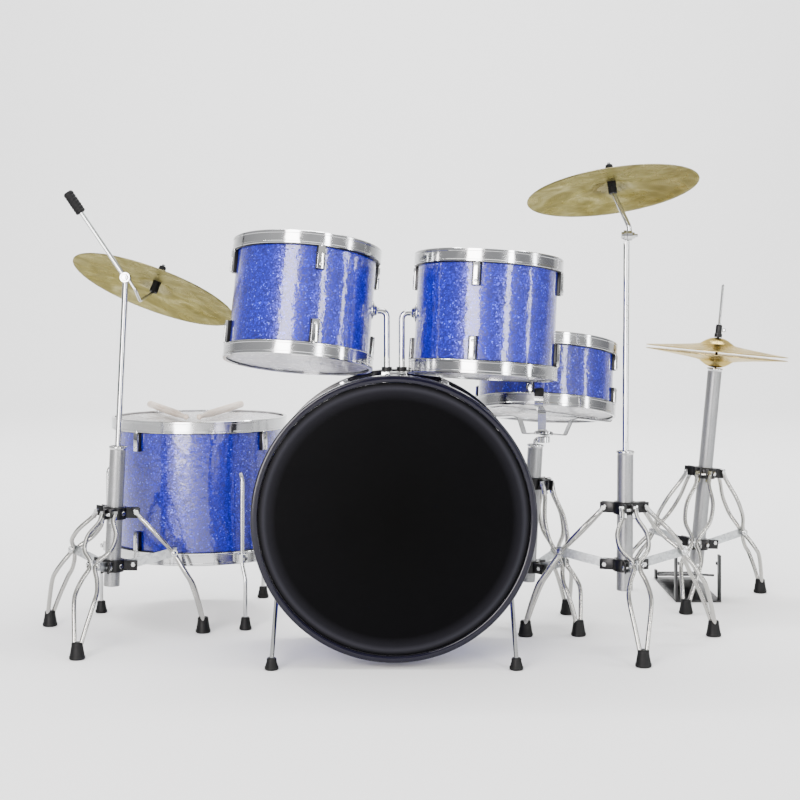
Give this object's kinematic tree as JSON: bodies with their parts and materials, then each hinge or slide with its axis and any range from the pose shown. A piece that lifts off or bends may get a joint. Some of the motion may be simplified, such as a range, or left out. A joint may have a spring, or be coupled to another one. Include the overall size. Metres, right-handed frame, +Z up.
{
  "type": "drum kit",
  "caption": "Acoustic drum kit: blue sparkle bass, hanging toms, floor tom and snare on chrome tripod stands, with crash cymbals, hi-hat, pedals and sticks.",
  "frame": {"origin": "centre of the whole kit's box, on the floor", "axes": "+Z up from the floor; -Y is the way the bass drum's front head faces, away from the player; +X is to the right of someone looking at that head, where the snare and hi-hat stand"},
  "size_m": [1.3254, 0.798, 0.7792],
  "materials": {
    "blue_sparkle_shell": "blue sparkle wrap over a thin moulded or ply shell, glossy",
    "chrome_hardware": "polished chrome plate",
    "nickel_legs": "bright nickel-plated bent steel rods with zinc braces and black feet",
    "grey_tube": "satin grey painted steel tube with a rolled bright lip",
    "black_hoop": "glossy near-black moulding",
    "black_head": "dark polyester film",
    "clear_head": "hazy clear polyester film",
    "crash_bronze": "lathed brass, greenish gold",
    "hihat_bronze": "lathed brass, brighter gold",
    "black_pedal_metal": "black painted pressed metal",
    "maple": "pale smooth turned wood"
  },
  "bodies": {
    "kit": {"bass_shell": "blue_sparkle_shell", "bass_front_head": "black_head", "bass_front_hoop": "black_hoop", "bass_back_head": "clear_head", "bass_back_hoop": "black_hoop", "tom_mount": "chrome_hardware", "left_stand_tube": "grey_tube", "left_stand_tripod": "nickel_legs", "right_stand_tube": "grey_tube", "right_stand_tripod": "nickel_legs", "hihat_stand_tube": "grey_tube", "hihat_stand_tripod": "nickel_legs", "snare_stand_tube": "grey_tube", "snare_stand_tripod": "nickel_legs", "floor_tom_leg_1": "chrome_hardware", "floor_tom_leg_2": "chrome_hardware", "floor_tom_leg_3": "chrome_hardware", "hihat_bottom_cymbal": "hihat_bronze", "hihat_pedal_base": "black_pedal_metal", "bass_pedal_base": "black_pedal_metal"},
    "spur_left": {"bass_spur_left": "chrome_hardware"},
    "spur_right": {"bass_spur_right": "chrome_hardware"},
    "tom_arm_left": {"tom_arm_left": "chrome_hardware"},
    "tom_arm_right": {"tom_arm_right": "chrome_hardware"},
    "tom_left": {"tom_left_shell": "blue_sparkle_shell", "tom_left_top_head": "clear_head", "tom_left_top_hoop": "chrome_hardware", "tom_left_bottom_head": "clear_head", "tom_left_bottom_hoop": "chrome_hardware"},
    "tom_right": {"tom_right_shell": "blue_sparkle_shell", "tom_right_top_head": "clear_head", "tom_right_top_hoop": "chrome_hardware", "tom_right_bottom_head": "clear_head", "tom_right_bottom_hoop": "chrome_hardware"},
    "floor_tom": {"floor_tom_shell": "blue_sparkle_shell", "floor_tom_top_head": "clear_head", "floor_tom_top_hoop": "chrome_hardware", "floor_tom_bottom_head": "clear_head", "floor_tom_bottom_hoop": "chrome_hardware", "drumstick_left": "maple", "drumstick_right": "maple"},
    "left_rod": {"left_rod": "chrome_hardware"},
    "left_boom": {"left_boom": "chrome_hardware"},
    "left_crash": {"left_crash_cymbal": "crash_bronze"},
    "right_rod": {"right_rod": "chrome_hardware"},
    "right_tilter": {"right_tilter": "chrome_hardware"},
    "right_crash": {"right_crash_cymbal": "crash_bronze"},
    "hihat_rod": {"hihat_rod": "chrome_hardware", "hihat_top_cymbal": "hihat_bronze"},
    "hihat_footboard": {"hihat_footboard": "black_pedal_metal"},
    "snare_post": {"snare_post": "chrome_hardware"},
    "snare": {"snare_shell": "blue_sparkle_shell", "snare_top_head": "clear_head", "snare_top_hoop": "chrome_hardware", "snare_bottom_head": "clear_head", "snare_bottom_hoop": "chrome_hardware", "snare_wires": "chrome_hardware", "snare_basket": "chrome_hardware"},
    "bass_footboard": {"bass_pedal_footboard": "black_pedal_metal"},
    "bass_beater": {"bass_pedal_beater": "chrome_hardware"}
  },
  "joints": [
    {"name": "spur_left_fold", "type": "hinge", "parent": "kit", "child": "spur_left", "pos_m": [-0.23984, -0.328, 0.1066], "axis": [0.829, 0, 0.5592], "range_deg": [0, 130]},
    {"name": "spur_right_fold", "type": "hinge", "parent": "kit", "child": "spur_right", "pos_m": [0.11184, -0.328, 0.1066], "axis": [0.829, 0, -0.5592], "range_deg": [0, 130]},
    {"name": "tom_left_swivel", "type": "hinge", "parent": "kit", "child": "tom_arm_left", "pos_m": [-0.0758, -0.265, 0.537], "axis": [0, 0, 1], "range_deg": [-12, 12]},
    {"name": "tom_left_tilt", "type": "hinge", "parent": "tom_arm_left", "child": "tom_left", "pos_m": [-0.0912, -0.265, 0.537], "axis": [1, 0, 0], "range_deg": [-1, 8]},
    {"name": "tom_right_swivel", "type": "hinge", "parent": "kit", "child": "tom_arm_right", "pos_m": [-0.0522, -0.265, 0.534], "axis": [0, 0, 1], "range_deg": [-4, 1]},
    {"name": "tom_right_tilt", "type": "hinge", "parent": "tom_arm_right", "child": "tom_right", "pos_m": [-0.0368, -0.265, 0.534], "axis": [1, 0, 0], "range_deg": [0, 8]},
    {"name": "floor_tom_slide", "type": "slide", "parent": "kit", "child": "floor_tom", "axis": [0, 0, 1], "range_m": [0, 0.08]},
    {"name": "left_rod_slide", "type": "slide", "parent": "kit", "child": "left_rod", "axis": [0.0454, 0, 0.999], "range_m": [-0.05, 0.06]},
    {"name": "left_boom_tilt", "type": "hinge", "parent": "left_rod", "child": "left_boom", "pos_m": [-0.50466, -0.165, 0.591], "axis": [0, -1, 0], "range_deg": [-18, 20]},
    {"name": "left_crash_spin", "type": "hinge", "parent": "left_boom", "child": "left_crash", "pos_m": [-0.48, -0.023, 0.571], "axis": [0.3059, 0.2899, 0.9068], "continuous": true},
    {"name": "right_rod_slide", "type": "slide", "parent": "kit", "child": "right_rod", "axis": [0.0052, 0, 1], "range_m": [-0.05, 0.06]},
    {"name": "right_tilter_tilt", "type": "hinge", "parent": "right_rod", "child": "right_tilter", "pos_m": [0.31045, -0.205, 0.658], "axis": [1, 0, 0], "range_deg": [-25, 25]},
    {"name": "right_crash_spin", "type": "hinge", "parent": "right_tilter", "child": "right_crash", "pos_m": [0.2914, -0.182, 0.731], "axis": [-0.113, 0.2169, 0.9696], "continuous": true},
    {"name": "hihat_footboard_press", "type": "hinge", "parent": "kit", "child": "hihat_footboard", "pos_m": [0.492, 0.387, 0.011], "axis": [1, 0, 0], "range_deg": [0, 1.4]},
    {"name": "hihat_rod_slide", "type": "slide", "parent": "kit", "child": "hihat_rod", "axis": [-0.0958, 0, -0.9954], "range_m": [0, 0.005], "stiffness_N_per_m": 600, "springref_m": -0.03},
    {"name": "snare_post_slide", "type": "slide", "parent": "kit", "child": "snare_post", "axis": [0.0593, 0, 0.9982], "range_m": [0, 0.012]},
    {"name": "snare_tilt", "type": "hinge", "parent": "snare_post", "child": "snare", "pos_m": [0.19, -0.058, 0.3265], "axis": [1, 0, 0], "range_deg": [0, 6]},
    {"name": "bass_footboard_press", "type": "hinge", "parent": "kit", "child": "bass_footboard", "pos_m": [-0.064, 0.097, 0.011], "axis": [1, 0, 0], "range_deg": [0, 12]},
    {"name": "bass_beater_swing", "type": "hinge", "parent": "kit", "child": "bass_beater", "pos_m": [-0.064, -0.103, 0.122], "axis": [1, 0, 0], "range_deg": [0, 45.2], "stiffness_Nm_per_rad": 0.4, "springref_deg": -22.92}
  ],
  "couplings": [
    {"joint": "hihat_rod_slide", "follows": "hihat_footboard_press", "m_per_rad": 0.202},
    {"joint": "bass_beater_swing", "follows": "bass_footboard_press", "ratio": 3.75}
  ]
}
